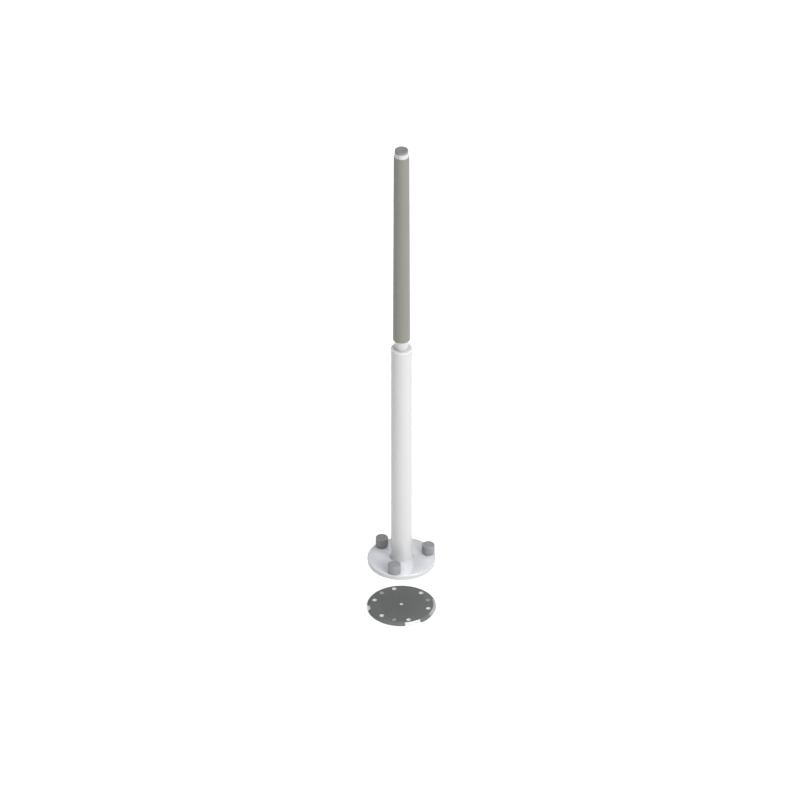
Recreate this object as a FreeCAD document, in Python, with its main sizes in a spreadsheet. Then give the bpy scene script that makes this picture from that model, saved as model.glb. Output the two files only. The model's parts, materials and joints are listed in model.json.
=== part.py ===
# Omnidirectional antenna on a round flange, lifted off its mounting disc.
#
# The radome stands on a white tube that is welded to a flange.  Three thumbscrews hold the flange
# to a dark mounting disc, which is screwed down first.  Here the antenna hangs straight above the
# disc, as it does just before it is lowered on.  The feeder runs up inside the tube from a coaxial
# socket in the tube's foot.
#
# Millimetres, +Z up, origin at the centre of the mounting disc's underside.
import FreeCAD, Part
import os
import re

import Sketcher

Vector = FreeCAD.Vector

# Driving dimensions, in millimetres and degrees.
SIZES = {
    # mounting disc
    "disc_diameter": 164.0,
    "disc_thickness": 6.5,
    "pad_thickness": 1.5,
    "bevel_top_diameter": 151.0,
    "bevel_depth": 3.7,
    "fixing_circle": 132.0,
    "fixing_hole": 9.0,
    "first_fixing_angle": 45.0,
    "cable_hole": 7.0,
    "notch_inner_diameter": 152.0,
    "side_notch_angle": 186.0,
    "side_notch_width": 18.0,
    "front_notch_angle": 291.0,
    "front_notch_width": 30.0,
    "mark_length": 13.0,
    "mark_width": 1.2,
    "mark_depth": 0.4,
    "mark_distance": 22.0,
    # thread inserts in the disc
    "insert_bore": 8.1,
    "insert_diameter": 10.4,
    "insert_head": 14.0,
    "insert_head_thickness": 1.2,
    # flange and tube
    "lift_gap": 126.0,
    "flange_diameter": 162.0,
    "flange_thickness": 12.0,
    "flange_round": 1.5,
    "tube_diameter": 50.0,
    "tube_bore": 45.0,
    "tube_length": 599.0,
    "weld_leg": 3.0,
    # thumbscrews
    "screw_circle": 132.0,
    "first_screw_angle": 15.0,
    "screw_clearance_hole": 10.0,
    "stud_diameter": 8.0,
    "stud_reach": 4.5,
    "stud_neck": 8.0,
    "stud_head_diameter": 13.0,
    "stud_head_height": 8.0,
    "stud_chamfer": 0.8,
    "washer_diameter": 18.0,
    "washer_bore": 8.4,
    "washer_thickness": 1.3,
    "rest_gap": 0.3,
    "knob_diameter": 30.0,
    "knob_height": 21.8,
    "knob_round": 1.6,
    # bush and neck at the top of the tube
    "bush_lip": 4.0,
    "bush_bevel": 0.8,
    "bush_depth": 30.0,
    "neck_diameter": 33.0,
    "neck_exposed": 26.0,
    "neck_depth": 44.0,
    "neck_bore": 26.0,
    "neck_spigot_diameter": 35.4,
    "neck_spigot_height": 21.0,
    "neck_groove_height": 4.0,
    "fit_gap": 0.05,
    "seal_section": 1.9,
    # radome, collar and cap
    "radome_length": 524.0,
    "radome_foot_diameter": 41.0,
    "radome_top_diameter": 37.0,
    "radome_wall": 2.5,
    "radome_chamfer": 1.0,
    "collar_height": 11.0,
    "collar_foot_diameter": 35.5,
    "collar_top_diameter": 32.0,
    "collar_bore": 20.0,
    "collar_spigot": 15.0,
    "collar_slot_width": 1.6,
    "collar_slot_diameter": 30.4,
    "collar_slot_angle": 5.0,
    "cap_height": 6.0,
    "cap_bevel": 0.8,
    "cap_plug_depth": 9.0,
    "cap_dimple_diameter": 4.0,
    "cap_dimple_depth": 0.6,
    "cap_seal_circle": 25.0,
    # radiating array
    "line_diameter": 6.4,
    "line_foot": 763.0,
    "line_length": 499.0,
    "first_dipole": 860.0,
    "dipole_pitch": 112.0,
    "dipole_gap": 6.0,
    "sleeve_length": 46.0,
    "sleeve_diameter": 18.0,
    "sleeve_wall": 0.8,
    "spacer_thickness": 10.0,
    # matching unit
    "can_foot": 712.0,
    "can_diameter": 25.6,
    "can_height": 56.0,
    "can_wall": 1.0,
    "can_floor": 1.5,
    "lid_thickness": 1.5,
    "lid_plug": 2.0,
    "board_width": 20.0,
    "board_thickness": 1.6,
    "board_foot": 717.0,
    # feeder
    "cable_diameter": 6.2,
    "cable_foot": 191.0,
    "crimp_diameter": 8.8,
    "crimp_length": 18.0,
    "cable_spacer_foot": 300.0,
    "cable_spacer_pitch": 150.0,
    "cable_spacer_thickness": 12.0,
    "bead_foot": 625.0,
    "bead_pitch": 15.0,
    "bead_length": 14.0,
    "bead_diameter": 16.0,
    # bulkhead and coaxial socket
    "plate_foot": 172.0,
    "plate_diameter": 44.0,
    "plate_thickness": 3.0,
    "ring_bore": 34.0,
    "ring_height": 6.0,
    "plate_screw_circle": 39.0,
    "plate_screw_diameter": 3.0,
    "plate_screw_head": 5.6,
    "plate_screw_head_height": 2.0,
    "plate_screw_length": 7.0,
    "plate_screw_angle": 45.0,
    "shank_diameter": 12.5,
    "shank_length": 18.0,
    "barrel_diameter": 15.9,
    "barrel_length": 22.0,
    "barrel_bore": 11.2,
    "barrel_depth": 14.0,
    "jack_flange_diameter": 20.6,
    "jack_flange_thickness": 2.0,
    "jack_groove_inner": 15.2,
    "jack_groove_outer": 18.8,
    "jack_groove_depth": 1.3,
    "insulator_diameter": 8.0,
    "contact_diameter": 3.0,
    "contact_socket": 1.7,
    "contact_reach": 16.0,
    "nut_corner_diameter": 21.9,
    "nut_height": 4.0,
}

FUNCTIONS = ("cos", "sin")
SCREW_COUNT = 3
FIXING_COUNT = 6
DIPOLE_COUNT = 4
CABLE_SPACER_COUNT = 3
BEAD_COUNT = 5
TINY = 1e-6

# Heights that several pieces share, worked out from the driving dimensions.
DISC_TOP = "pad_thickness + disc_thickness"
FLANGE_FOOT = DISC_TOP + " + lift_gap"
FLANGE_TOP = FLANGE_FOOT + " + flange_thickness"
TUBE_TOP = FLANGE_TOP + " + tube_length"
BUSH_TOP = TUBE_TOP + " + bush_lip"
RADOME_FOOT = BUSH_TOP + " + neck_exposed"
RADOME_TOP = RADOME_FOOT + " + radome_length"
COLLAR_TOP = RADOME_TOP + " + collar_height"
WASHER_FOOT = FLANGE_TOP + " + rest_gap"
KNOB_FOOT = WASHER_FOOT + " + washer_thickness + rest_gap"
PLATE_TOP = "plate_foot + plate_thickness"
STUD_TIP = "0 - rest_gap - washer_thickness - rest_gap - flange_thickness - stud_reach"

DOC = FreeCAD.newDocument("Antenna")
PIECES = []


# ---------------------------------------------------------------- the sheet and its expressions

def make_sheet():
    """Spreadsheet with one named cell for each driving dimension."""
    sheet = DOC.addObject("Spreadsheet::Sheet", "Sizes")
    for row, (name, number) in enumerate(SIZES.items(), start=1):
        sheet.set("A%d" % row, name)
        sheet.set("B%d" % row, str(number))
        sheet.setAlias("B%d" % row, name)
    DOC.recompute()
    return sheet


def bound(text):
    """The expression with every dimension's name turned into a reference to its cell."""
    def cell(match):
        word = match.group(0)
        return word if word in FUNCTIONS else "<<Sizes>>." + word
    return re.sub(r"[a-z_]+", cell, text)


def value(text):
    """The number that an expression gives now."""
    return float(SHEET.evalExpression(bound(text)))


def bind(thing, **properties):
    """Binds properties to expressions, with two underscores for each dot in a property's path."""
    for path, text in properties.items():
        thing.setExpression(path.replace("__", "."), bound(text))


# ---------------------------------------------------------------- sketches

def origin_feature(body, role):
    """The body's own origin plane or axis."""
    return next(item for item in body.Origin.OriginFeatures if item.Role == role)


def add_sketch(body, name, role):
    """Sketch on one of the body's origin planes."""
    sketch = body.newObject("Sketcher::SketchObject", name)
    sketch.AttachmentSupport = (origin_feature(body, role), "")
    sketch.MapMode = "FlatFace"
    return sketch


def constrain(sketch, number, text):
    """Ties one constraint of a sketch to an expression."""
    sketch.setExpression("Constraints[%d]" % number, bound(text))


def place_point(sketch, geometry, point, across, up):
    """Holds a point of the sketch at its two distances from the origin."""
    for kind, axis, text in (("DistanceX", -2, across), ("DistanceY", -1, up)):
        distance = value(text)
        if abs(distance) < TINY:
            sketch.addConstraint(Sketcher.Constraint("PointOnObject", geometry, point, axis))
        else:
            rule = Sketcher.Constraint(kind, -1, 1, geometry, point, distance)
            constrain(sketch, sketch.addConstraint(rule), text)


def draw_outline(sketch, corners):
    """Closed outline of straight lines through corners given as (across, up) expressions."""
    first = sketch.GeometryCount
    places = [Vector(value(across), value(up), 0) for across, up in corners]
    for here, there in zip(places, places[1:] + places[:1]):
        sketch.addGeometry(Part.LineSegment(here, there))
    for index, (across, up) in enumerate(corners):
        line = first + index
        before = first + (index - 1) % len(corners)
        sketch.addConstraint(Sketcher.Constraint("Coincident", before, 2, line, 1))
        place_point(sketch, line, 1, across, up)


def draw_circle(sketch, across, up, diameter):
    """Circle with its centre at (across, up)."""
    centre = Vector(value(across), value(up), 0)
    circle = sketch.addGeometry(Part.Circle(centre, Vector(0, 0, 1), value(diameter) / 2))
    place_point(sketch, circle, 3, across, up)
    rule = Sketcher.Constraint("Diameter", circle, value(diameter))
    constrain(sketch, sketch.addConstraint(rule), diameter)


# ---------------------------------------------------------------- bodies and their features

def add_body(label, height="0"):
    """Body of its own, standing at a height on the antenna's axis."""
    body = DOC.addObject("PartDesign::Body", label)
    body.AllowCompound = True
    bind(body, Placement__Base__z=height)
    PIECES.append(body)
    return body


def turn_outlines(body, name, outlines, offset=None):
    """Revolution of closed outlines about a vertical axis, at an offset from the body's own."""
    sketch = add_sketch(body, name + "Outline", "XZ_Plane")
    for corners in outlines:
        draw_outline(sketch, corners)
    if offset:
        bind(sketch, AttachmentOffset__Base__x=offset)
    feature = body.newObject("PartDesign::Revolution", name)
    feature.Profile = sketch
    feature.ReferenceAxis = (sketch, ["V_Axis"])
    feature.Angle = 360
    return feature


def turned_piece(label, height, corners):
    """Body turned from one outline."""
    body = add_body(label, height)
    turn_outlines(body, "Turned", [corners])
    return body


def repeat_around(body, feature, count):
    """Even ring of copies of a feature about the body's axis."""
    ring = body.newObject("PartDesign::PolarPattern", feature.Name + "Ring")
    ring.Originals = [feature]
    ring.Axis = (origin_feature(body, "Z_Axis"), [""])
    ring.Angle = 360
    ring.Occurrences = count
    body.Tip = ring


def repeat_up(body, feature, count, pitch):
    """Even row of copies of a feature up the body's axis."""
    row = body.newObject("PartDesign::LinearPattern", feature.Name + "Row")
    row.Originals = [feature]
    row.Direction = (origin_feature(body, "Z_Axis"), [""])
    row.Occurrences = count
    bind(row, Length="%s * %d" % (pitch, count - 1))
    body.Tip = row


def cut_through(body, name, sketch):
    """Pocket that cuts the sketch through the whole body, both ways."""
    pocket = body.newObject("PartDesign::Pocket", name)
    pocket.Profile = sketch
    pocket.Type = "ThroughAll"
    pocket.SideType = "Symmetric"
    return pocket


def drill(body, name, diameter, circle="0", angle="0", count=1):
    """Through hole on the axis, or an even ring of them on a circle."""
    sketch = add_sketch(body, name + "Plan", "XY_Plane")
    across = "%s / 2 * cos(%s)" % (circle, angle)
    up = "%s / 2 * sin(%s)" % (circle, angle)
    draw_circle(sketch, across, up, diameter)
    hole = cut_through(body, name, sketch)
    if count > 1:
        repeat_around(body, hole, count)


def cut_sector(body, name, corners, angle, width):
    """Groove of a given width in degrees, centred on an angle about the body's axis."""
    sketch = add_sketch(body, name + "Outline", "XZ_Plane")
    sketch.AttachmentOffset = FreeCAD.Placement(Vector(), FreeCAD.Rotation(Vector(0, 1, 0), 1))
    bind(sketch, AttachmentOffset__Rotation__Angle=angle)
    draw_outline(sketch, corners)
    groove = body.newObject("PartDesign::Groove", name)
    groove.Profile = sketch
    groove.ReferenceAxis = (sketch, ["V_Axis"])
    groove.Midplane = True
    bind(groove, Angle=width)


def round_circles(body, name, radius, diameter, heights):
    """Rounds the full circles of a diameter that lie at the given heights in the body's frame."""
    DOC.recompute()
    base = body.Tip
    chosen = []
    for index, edge in enumerate(base.Shape.Edges, start=1):
        is_ring = edge.Closed and hasattr(edge.Curve, "Radius")
        if not is_ring or abs(edge.Curve.Radius - value(diameter) / 2) > TINY:
            continue
        if any(abs(edge.Curve.Center.z - value(height)) < TINY for height in heights):
            chosen.append("Edge%d" % index)
    fillet = body.newObject("PartDesign::Fillet", name)
    fillet.Base = (base, chosen)
    bind(fillet, Radius=radius)


# ---------------------------------------------------------------- primitives

def cylinder(name, diameter, height, foot):
    """Plain cylinder on the axis."""
    shape = DOC.addObject("Part::Cylinder", name)
    bind(shape, Radius="(%s) / 2" % diameter, Height=height, Placement__Base__z=foot)
    return shape


def ring(name, outer, inner, height, foot):
    """Cylinder with a coaxial bore right through it."""
    shape = DOC.addObject("Part::Cut", name)
    shape.Base = cylinder(name + "_outside", outer, height, foot)
    shape.Tool = cylinder(name + "_bore", inner, height, foot)
    return shape


def seal(label, circle, section, height):
    """O-ring whose section's centre lies at a height."""
    shape = DOC.addObject("Part::Torus", label)
    bind(shape, Radius1="(%s) / 2" % circle, Radius2="(%s) / 2" % section)
    bind(shape, Placement__Base__z=height)
    PIECES.append(shape)


# ---------------------------------------------------------------- mounting disc

def mounting_disc():
    """Dark plate with a bevelled rim, a ring of fixing holes and two rim notches."""
    body = turned_piece("mounting_disc", "pad_thickness", [
        ("0", "0"),
        ("disc_diameter / 2", "0"),
        ("disc_diameter / 2", "disc_thickness - bevel_depth"),
        ("bevel_top_diameter / 2", "disc_thickness"),
        ("0", "disc_thickness"),
    ])
    drill(body, "CableHole", "cable_hole")
    drill(body, "FixingHole", "fixing_hole", "fixing_circle", "first_fixing_angle", FIXING_COUNT)
    drill(body, "InsertHole", "insert_diameter", "screw_circle", "first_screw_angle", SCREW_COUNT)
    notch = [
        ("notch_inner_diameter / 2", "0 - 1"),
        ("disc_diameter / 2 + 1", "0 - 1"),
        ("disc_diameter / 2 + 1", "disc_thickness + 1"),
        ("notch_inner_diameter / 2", "disc_thickness + 1"),
    ]
    cut_sector(body, "SideNotch", notch, "side_notch_angle", "side_notch_width")
    cut_sector(body, "FrontNotch", notch, "front_notch_angle", "front_notch_width")
    engrave_mark(body)


def engrave_mark(body):
    """Shallow straight mark beside the centre hole, which shows which way round the disc goes."""
    sketch = add_sketch(body, "MarkPlan", "XY_Plane")
    bind(sketch, AttachmentOffset__Base__z="disc_thickness")
    draw_outline(sketch, [
        ("0", "mark_distance"),
        ("mark_length", "mark_distance"),
        ("mark_length", "mark_distance + mark_width"),
        ("0", "mark_distance + mark_width"),
    ])
    mark = body.newObject("PartDesign::Pocket", "Mark")
    mark.Profile = sketch
    bind(mark, Length="mark_depth")


def disc_pad():
    """Thin closed-cell pad under the disc, with room for the heads of the inserts."""
    body = add_body("disc_pad")
    sketch = add_sketch(body, "PadPlan", "XY_Plane")
    draw_circle(sketch, "0", "0", "disc_diameter")
    sheet = body.newObject("PartDesign::Pad", "Sheet")
    sheet.Profile = sketch
    bind(sheet, Length="pad_thickness")
    drill(body, "CableHole", "cable_hole")
    drill(body, "FixingHole", "fixing_hole", "fixing_circle", "first_fixing_angle", FIXING_COUNT)
    drill(body, "InsertRelief", "insert_head + 0.4", "screw_circle", "first_screw_angle",
          SCREW_COUNT)


def thread_inserts():
    """Press-in threaded inserts for the thumbscrews, heads down."""
    body = add_body("thread_inserts", "pad_thickness - insert_head_thickness")
    body.Placement.Rotation = FreeCAD.Rotation(Vector(0, 0, 1), 1)
    bind(body, Placement__Rotation__Angle="first_screw_angle")
    insert = turn_outlines(body, "Insert", [[
        ("insert_bore / 2", "0"),
        ("insert_head / 2", "0"),
        ("insert_head / 2", "insert_head_thickness"),
        ("insert_diameter / 2", "insert_head_thickness"),
        ("insert_diameter / 2", "insert_head_thickness + disc_thickness"),
        ("insert_bore / 2", "insert_head_thickness + disc_thickness"),
    ]], offset="screw_circle / 2")
    repeat_around(body, insert, SCREW_COUNT)


# ---------------------------------------------------------------- flange and tube

def base_flange():
    """Round flange, open in the middle for the socket, with clearance holes for the studs."""
    body = turned_piece("base_flange", FLANGE_FOOT, [
        ("tube_bore / 2", "0"),
        ("flange_diameter / 2", "0"),
        ("flange_diameter / 2", "flange_thickness"),
        ("tube_bore / 2", "flange_thickness"),
    ])
    round_circles(body, "RimRound", "flange_round", "flange_diameter", ("0", "flange_thickness"))
    drill(body, "StudHole", "screw_clearance_hole", "screw_circle", "first_screw_angle",
          SCREW_COUNT)


def mast_tube():
    """Plain tube that carries the antenna."""
    PIECES.append(ring("mast_tube", "tube_diameter", "tube_bore", "tube_length", FLANGE_TOP))


def weld_bead():
    """Fillet weld round the foot of the tube."""
    turned_piece("weld_bead", FLANGE_TOP, [
        ("tube_diameter / 2", "0"),
        ("tube_diameter / 2 + weld_leg", "0"),
        ("tube_diameter / 2 + weld_leg * 0.4", "weld_leg * 0.4"),
        ("tube_diameter / 2", "weld_leg"),
    ])


def mast_bush():
    """Bush that closes the top of the tube and holds the neck."""
    turned_piece("mast_bush", TUBE_TOP, [
        ("neck_diameter / 2 + fit_gap", "0 - bush_depth"),
        ("tube_bore / 2 - fit_gap", "0 - bush_depth"),
        ("tube_bore / 2 - fit_gap", "0"),
        ("tube_diameter / 2", "0"),
        ("tube_diameter / 2", "bush_lip - bush_bevel"),
        ("tube_diameter / 2 - bush_bevel", "bush_lip"),
        ("neck_diameter / 2 + fit_gap", "bush_lip"),
    ])


# ---------------------------------------------------------------- thumbscrews

def set_on_screw_circle(thing, number):
    """Moves a piece from the antenna's axis to the axis of one of the thumbscrews."""
    angle = "first_screw_angle + %d" % (number * 360 // SCREW_COUNT)
    bind(thing, Placement__Base__x="screw_circle / 2 * cos(%s)" % angle)
    bind(thing, Placement__Base__y="screw_circle / 2 * sin(%s)" % angle)


def thumbscrew(number):
    """One thumbscrew: washer on the flange, moulded knob, and the stud that is cast into it."""
    suffix = "_%d" % (number + 1)
    washer = turned_piece("thumb_washer" + suffix, WASHER_FOOT, [
        ("washer_bore / 2", "0"),
        ("washer_diameter / 2", "0"),
        ("washer_diameter / 2", "washer_thickness"),
        ("washer_bore / 2", "washer_thickness"),
    ])
    knob = turned_piece("thumb_knob" + suffix, KNOB_FOOT, [
        ("stud_diameter / 2", "0"),
        ("knob_diameter / 2", "0"),
        ("knob_diameter / 2", "knob_height"),
        ("0", "knob_height"),
        ("0", "stud_neck + stud_head_height"),
        ("stud_head_diameter / 2", "stud_neck + stud_head_height"),
        ("stud_head_diameter / 2", "stud_neck"),
        ("stud_diameter / 2", "stud_neck"),
    ])
    round_circles(knob, "TopRound", "knob_round", "knob_diameter", ["knob_height"])
    stud = turned_piece("thumb_stud" + suffix, KNOB_FOOT, [
        ("0", STUD_TIP),
        ("stud_diameter / 2 - stud_chamfer", STUD_TIP),
        ("stud_diameter / 2", STUD_TIP + " + stud_chamfer"),
        ("stud_diameter / 2", "stud_neck"),
        ("stud_head_diameter / 2", "stud_neck"),
        ("stud_head_diameter / 2", "stud_neck + stud_head_height"),
        ("0", "stud_neck + stud_head_height"),
    ])
    for piece in (washer, knob, stud):
        set_on_screw_circle(piece, number)


# ---------------------------------------------------------------- neck, radome, collar and cap

def neck_ferrule():
    """Hollow neck: held in the bush below, inside the radome's foot above."""
    low = "0 - neck_depth"
    shoulder = "neck_exposed + 1"
    groove = "neck_exposed + neck_groove_height"
    turned_piece("neck_ferrule", BUSH_TOP, [
        ("neck_bore / 2", low),
        ("neck_diameter / 2", low),
        ("neck_diameter / 2", shoulder),
        ("neck_spigot_diameter / 2", shoulder),
        ("neck_spigot_diameter / 2", groove),
        ("neck_spigot_diameter / 2 - seal_section + 0.2", groove),
        ("neck_spigot_diameter / 2 - seal_section + 0.2", groove + " + seal_section + 0.3"),
        ("neck_spigot_diameter / 2", groove + " + seal_section + 0.3"),
        ("neck_spigot_diameter / 2", "neck_exposed + neck_spigot_height"),
        ("neck_bore / 2", "neck_exposed + neck_spigot_height"),
    ])
    circle = "neck_spigot_diameter + 0.4 - seal_section"
    seal("neck_seal", circle, "seal_section", BUSH_TOP + " + %s + seal_section / 2 + 0.1" % groove)


def radome():
    """Tapered cover of the radiating array, open at both ends, with broken outer edges."""
    turned_piece("radome", RADOME_FOOT, [
        ("radome_foot_diameter / 2 - radome_wall", "0"),
        ("radome_foot_diameter / 2 - radome_chamfer", "0"),
        ("radome_foot_diameter / 2", "radome_chamfer"),
        ("radome_top_diameter / 2", "radome_length - radome_chamfer / 2"),
        ("radome_top_diameter / 2 - radome_chamfer / 2", "radome_length"),
        ("radome_top_diameter / 2 - radome_wall", "radome_length"),
    ])


def top_collar():
    """Conical collar whose spigot closes the radome's top, with vent slots down its side."""
    groove_out = "cap_seal_circle / 2 + seal_section / 2"
    groove_in = "cap_seal_circle / 2 - seal_section / 2"
    body = turned_piece("top_collar", RADOME_TOP, [
        ("collar_bore / 2", "0 - collar_spigot"),
        ("radome_top_diameter / 2 - radome_wall - 3 * fit_gap", "0 - collar_spigot"),
        ("radome_top_diameter / 2 - radome_wall - 3 * fit_gap", "0"),
        ("collar_foot_diameter / 2", "0"),
        ("collar_top_diameter / 2", "collar_height"),
        (groove_out, "collar_height"),
        (groove_out, "collar_height - seal_section"),
        (groove_in, "collar_height - seal_section"),
        (groove_in, "collar_height"),
        ("collar_bore / 2", "collar_height"),
    ])
    sketch = add_sketch(body, "VentPlan", "XY_Plane")
    sketch.AttachmentOffset = FreeCAD.Placement(Vector(), FreeCAD.Rotation(Vector(0, 0, 1), 1))
    bind(sketch, AttachmentOffset__Rotation__Angle="collar_slot_angle")
    draw_outline(sketch, [
        ("collar_slot_diameter / 2", "0 - collar_slot_width / 2"),
        ("collar_foot_diameter / 2 + 1", "0 - collar_slot_width / 2"),
        ("collar_foot_diameter / 2 + 1", "collar_slot_width / 2"),
        ("collar_slot_diameter / 2", "collar_slot_width / 2"),
    ])
    repeat_around(body, cut_through(body, "Vent", sketch), SCREW_COUNT)
    seal("cap_seal", "cap_seal_circle", "seal_section", COLLAR_TOP + " - seal_section / 2")


def top_cap():
    """Round cap with a bevelled edge, plugged into the collar."""
    turned_piece("top_cap", COLLAR_TOP, [
        ("0", "0 - cap_plug_depth"),
        ("collar_bore / 2 - fit_gap", "0 - cap_plug_depth"),
        ("collar_bore / 2 - fit_gap", "0"),
        ("collar_top_diameter / 2", "0"),
        ("collar_top_diameter / 2", "cap_height - cap_bevel"),
        ("collar_top_diameter / 2 - cap_bevel", "cap_height"),
        ("cap_dimple_diameter / 2", "cap_height"),
        ("cap_dimple_diameter / 4", "cap_height - cap_dimple_depth"),
        ("0", "cap_height - cap_dimple_depth"),
    ])


# ---------------------------------------------------------------- radiating array

def feed_line():
    """Rigid coaxial line up the middle of the array."""
    shape = cylinder("feed_line", "line_diameter", "line_length", "line_foot")
    PIECES.append(shape)


def sleeve_outline(toward):
    """Outline of one sleeve, its closed end next to the gap; toward is + or - for up or down."""
    near = "0 %s dipole_gap / 2" % toward
    inside = near + " %s sleeve_wall" % toward
    far = near + " %s sleeve_length" % toward
    return [
        ("line_diameter / 2 + fit_gap", near),
        ("sleeve_diameter / 2", near),
        ("sleeve_diameter / 2", far),
        ("sleeve_diameter / 2 - sleeve_wall", far),
        ("sleeve_diameter / 2 - sleeve_wall", inside),
        ("line_diameter / 2 + fit_gap", inside),
    ]


def dipole_sleeves():
    """Pairs of brass sleeves, back to back across each feed gap."""
    body = add_body("dipole_sleeves", "first_dipole")
    pair = turn_outlines(body, "Pair", [sleeve_outline("+"), sleeve_outline("-")])
    repeat_up(body, pair, DIPOLE_COUNT, "dipole_pitch")


def gap_insulators():
    """Rings that hold each pair of sleeves apart."""
    body = add_body("gap_insulators", "first_dipole")
    gap = turn_outlines(body, "Gap", [[
        ("line_diameter / 2 + fit_gap", "0 - dipole_gap / 2"),
        ("sleeve_diameter / 2", "0 - dipole_gap / 2"),
        ("sleeve_diameter / 2", "dipole_gap / 2"),
        ("line_diameter / 2 + fit_gap", "dipole_gap / 2"),
    ]])
    repeat_up(body, gap, DIPOLE_COUNT, "dipole_pitch")


def foam_spacers():
    """Foam rings between the dipoles, each cut to the radome's bore at its own height."""
    slope = "(radome_foot_diameter - radome_top_diameter) / radome_length"
    rings = []
    for number in range(DIPOLE_COUNT + 1):
        middle = "first_dipole + dipole_pitch * %.1f" % (number - 0.5)
        foot = middle + " - spacer_thickness / 2"
        climb = "(%s + spacer_thickness / 2 - (%s))" % (middle, RADOME_FOOT)
        outer = "radome_foot_diameter - 2 * radome_wall - 4 * fit_gap - %s * %s" % (climb, slope)
        inner = "line_diameter + 2 * fit_gap"
        name = "foam_spacer_%d" % (number + 1)
        rings.append(ring(name, outer, inner, "spacer_thickness", foot))
    group = DOC.addObject("Part::Compound", "foam_spacers")
    group.Links = rings
    PIECES.append(group)


# ---------------------------------------------------------------- matching unit

def matching_can():
    """Cup in the bore of the neck; the feeder enters through its floor."""
    turned_piece("matching_can", "can_foot", [
        ("cable_diameter / 2 + fit_gap", "0"),
        ("can_diameter / 2", "0"),
        ("can_diameter / 2", "can_height"),
        ("can_diameter / 2 - can_wall", "can_height"),
        ("can_diameter / 2 - can_wall", "can_floor"),
        ("cable_diameter / 2 + fit_gap", "can_floor"),
    ])


def matching_lid():
    """Lid of the can, plugged into its mouth round the rigid line."""
    turned_piece("matching_lid", "can_foot + can_height", [
        ("line_diameter / 2 + fit_gap", "0 - lid_plug"),
        ("can_diameter / 2 - can_wall - fit_gap", "0 - lid_plug"),
        ("can_diameter / 2 - can_wall - fit_gap", "0"),
        ("can_diameter / 2", "0"),
        ("can_diameter / 2", "lid_thickness"),
        ("line_diameter / 2 + fit_gap", "lid_thickness"),
    ])


def matching_board():
    """Circuit board between the end of the feeder and the foot of the line."""
    board = DOC.addObject("Part::Box", "matching_board")
    bind(board, Length="board_width", Width="board_thickness", Height="line_foot - board_foot")
    bind(board, Placement__Base__x="0 - board_width / 2",
         Placement__Base__y="0 - board_thickness / 2", Placement__Base__z="board_foot")
    PIECES.append(board)


# ---------------------------------------------------------------- feeder

def feed_cable():
    """Feeder, straight up the axis of the tube from the socket to the matching unit."""
    PIECES.append(cylinder("feed_cable", "cable_diameter", "board_foot - cable_foot",
                           "cable_foot"))


def crimp_sleeve():
    """Sleeve that holds the feeder on the socket's tail."""
    foot = "plate_foot + shank_length"
    PIECES.append(ring("crimp_sleeve", "crimp_diameter", "cable_diameter + 2 * fit_gap",
                       "crimp_length", foot))


def cable_rings(label, outer, length, foot, pitch, count):
    """Even row of rings on the feeder."""
    body = add_body(label, foot)
    feature = turn_outlines(body, "Ring", [[
        ("cable_diameter / 2 + fit_gap", "0"),
        ("(%s) / 2" % outer, "0"),
        ("(%s) / 2" % outer, length),
        ("cable_diameter / 2 + fit_gap", length),
    ]])
    repeat_up(body, feature, count, pitch)


def cable_spacers():
    """Foam rings that keep the feeder in the middle of the tube."""
    cable_rings("cable_spacers", "tube_bore - 4 * fit_gap", "cable_spacer_thickness",
                "cable_spacer_foot", "cable_spacer_pitch", CABLE_SPACER_COUNT)


def choke_beads():
    """Ferrite beads that keep current off the outside of the feeder."""
    cable_rings("choke_beads", "bead_diameter", "bead_length", "bead_foot", "bead_pitch",
                BEAD_COUNT)


# ---------------------------------------------------------------- bulkhead and coaxial socket

def support_ring():
    """Ring fixed in the tube's foot, tapped for the bulkhead's screws."""
    body = turned_piece("support_ring", PLATE_TOP, [
        ("ring_bore / 2", "0"),
        ("tube_bore / 2 - fit_gap", "0"),
        ("tube_bore / 2 - fit_gap", "ring_height"),
        ("ring_bore / 2", "ring_height"),
    ])
    drill(body, "Tapping", "plate_screw_diameter + 2 * fit_gap", "plate_screw_circle",
          "plate_screw_angle", SCREW_COUNT)


def connector_plate():
    """Bulkhead plate that carries the socket, screwed up against the ring."""
    body = turned_piece("connector_plate", "plate_foot", [
        ("shank_diameter / 2 + fit_gap", "0"),
        ("plate_diameter / 2", "0"),
        ("plate_diameter / 2", "plate_thickness"),
        ("shank_diameter / 2 + fit_gap", "plate_thickness"),
    ])
    drill(body, "ScrewHole", "plate_screw_diameter + 0.4", "plate_screw_circle",
          "plate_screw_angle", SCREW_COUNT)


def plate_screws():
    """Small screws of the bulkhead, heads down."""
    body = add_body("plate_screws", "plate_foot")
    body.Placement.Rotation = FreeCAD.Rotation(Vector(0, 0, 1), 1)
    bind(body, Placement__Rotation__Angle="plate_screw_angle")
    screw = turn_outlines(body, "Screw", [[
        ("0", "0 - plate_screw_head_height"),
        ("plate_screw_head / 2", "0 - plate_screw_head_height"),
        ("plate_screw_head / 2", "0"),
        ("plate_screw_diameter / 2", "0"),
        ("plate_screw_diameter / 2", "plate_screw_length"),
        ("0", "plate_screw_length"),
    ]], offset="plate_screw_circle / 2")
    repeat_around(body, screw, SCREW_COUNT)


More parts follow.
